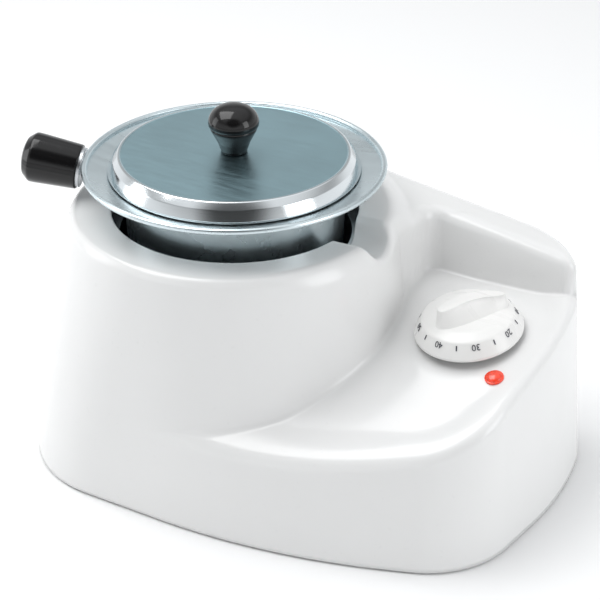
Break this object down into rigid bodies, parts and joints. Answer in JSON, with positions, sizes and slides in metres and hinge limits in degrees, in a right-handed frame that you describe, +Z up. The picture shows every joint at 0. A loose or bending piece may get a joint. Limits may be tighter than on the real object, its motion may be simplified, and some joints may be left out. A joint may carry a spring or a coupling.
{
  "type": "paraffin wax bath",
  "caption": "Tabletop salon wax heater: moulded casing with a heated round well, lidded aluminium pot with a stub handle, sloping tray with thermostat dial and pilot lamp.",
  "frame": {"origin": "middle of the footprint box, on the surface that the feet rest on", "axes": "+Z up, +X from the pot towards the dial end, -Y the front with the open side of the tray"},
  "size_m": [0.3114, 0.2142, 0.2093],
  "materials": {
    "casing_moulding": "glossy white moulding",
    "dial_moulding": "glossy white moulding with printed numerals",
    "base_moulding": "satin moulding",
    "screw_steel": "zinc plated",
    "sheet_steel": "rolled sheet",
    "foot_rubber": "matt black",
    "well_aluminium": "spun, dull",
    "cast_plate": "cast and faced",
    "element_sheath": "heat tinted sheath",
    "insulation": "pressed mineral fibre",
    "dark_phenolic": "moulded phenolic",
    "copper_part": "copper and brass",
    "lamp_red": "translucent red",
    "bush_black": "satin black",
    "pot_aluminium": "spun and polished",
    "lid_aluminium": "satin top, polished edge",
    "bakelite": "polished black phenolic",
    "wire_cover": "glass-sleeved lead"
  },
  "bodies": {
    "casing": {"base_plate": "base_moulding", "base_screws": "screw_steel", "capillary_tube": "copper_part", "carrier_posts": "sheet_steel", "carrier_screws": "screw_steel", "clamp_screws": "screw_steel", "cord_bush": "bush_black", "cord_clamp": "base_moulding", "earth_screw": "copper_part", "heating_element": "element_sheath", "hotplate": "cast_plate", "hotplate_carrier": "sheet_steel", "housing": "casing_moulding", "insulation_pad": "insulation", "pilot_lamp_body": "dark_phenolic", "pilot_lamp_clip": "screw_steel", "pilot_lamp_lens": "lamp_red", "rubber_feet": "foot_rubber", "terminal_block": "base_moulding", "terminal_screws": "copper_part", "thermal_fuse": "sheet_steel", "thermostat_body": "dark_phenolic", "thermostat_bulb": "copper_part", "thermostat_screws": "screw_steel", "well_liner": "well_aluminium", "wire_earth": "wire_cover", "wire_lamp": "wire_cover", "wire_live": "wire_cover", "wire_neutral": "wire_cover", "wire_switched": "wire_cover"},
    "dial": {"control_knob": "dial_moulding", "knob_spring": "screw_steel", "thermostat_spindle": "sheet_steel"},
    "pot": {"pot": "pot_aluminium", "handle_bracket": "sheet_steel", "handle_stud": "screw_steel", "pot_handle": "bakelite"},
    "lid": {"lid": "lid_aluminium", "lid_knob": "bakelite", "lid_knob_screw": "screw_steel", "lid_washer": "screw_steel"}
  },
  "joints": [
    {"name": "dial_turn", "type": "hinge", "parent": "casing", "child": "dial", "pos_m": [0.09986, 0.01374, 0.09972], "axis": [-0.0788, -0.1575, 0.9844], "range_deg": [-135, 135]},
    {"name": "pot_lift", "type": "slide", "parent": "casing", "child": "pot", "axis": [0, 0, 1], "range_m": [0, 0.12]},
    {"name": "lid_lift", "type": "slide", "parent": "pot", "child": "lid", "axis": [0, 0, 1], "range_m": [0, 0.08]}
  ]
}
